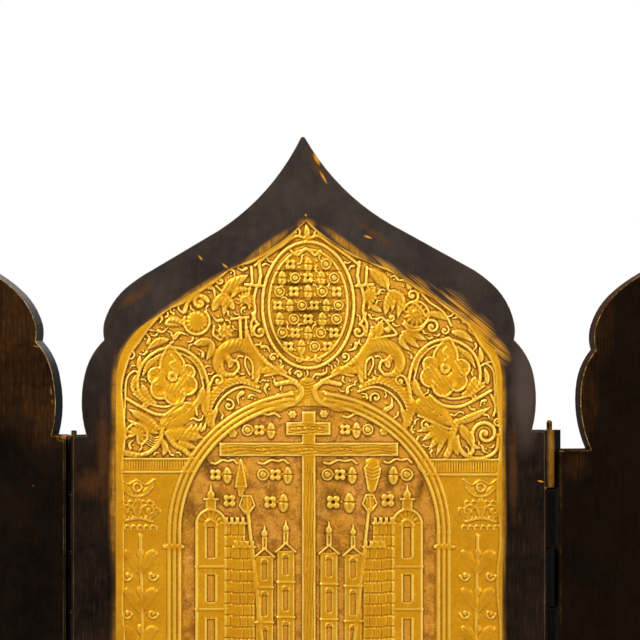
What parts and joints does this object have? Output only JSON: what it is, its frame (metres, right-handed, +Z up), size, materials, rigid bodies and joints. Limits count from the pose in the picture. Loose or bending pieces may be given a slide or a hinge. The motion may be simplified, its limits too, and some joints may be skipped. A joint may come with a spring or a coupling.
{
  "type": "folding travel icon",
  "caption": "Folding devotional panel of ogee-topped cast brass leaves that stand as a screen and fold into a flat stack on upright hinge pins.",
  "frame": {"origin": "middle of the centre leaf's foot, half way through its thickness", "axes": "+Z up along the hinge pins, +X along the open screen to the right as its back is seen, -Y out of the leaves' backs"},
  "size_m": [0.2967, 0.0312, 0.175],
  "materials": {
    "gilt_relief_brass": "cast, dark brown patina on the border, bright gilt-like brass on the relief",
    "leaf_brass": "cast, dark brown patina brushed in one direction, edges worn bright",
    "pin_brass": "drawn wire, worn at the ends"
  },
  "bodies": {
    "center": {"center_leaf": "gilt_relief_brass", "left_hinge_pin": "pin_brass", "spine_hinge_pin": "pin_brass"},
    "left": {"left_leaf": "leaf_brass"},
    "right": {"right_leaf": "leaf_brass", "end_hinge_pin": "pin_brass"},
    "end": {"end_leaf": "leaf_brass"}
  },
  "joints": [
    {"name": "left_hinge", "type": "hinge", "parent": "center", "child": "left", "pos_m": [-0.04985, 0.0024, 0], "axis": [0, 0, -1], "range_deg": [-16, 164]},
    {"name": "spine_hinge", "type": "hinge", "parent": "center", "child": "right", "pos_m": [0.0512, 0.0072, 0], "axis": [0, 0, 1], "range_deg": [-11, 169]},
    {"name": "end_hinge", "type": "hinge", "parent": "right", "child": "end", "pos_m": [0.14989, 0.02149, 0], "axis": [0, 0, -1], "range_deg": [0, 180]}
  ]
}
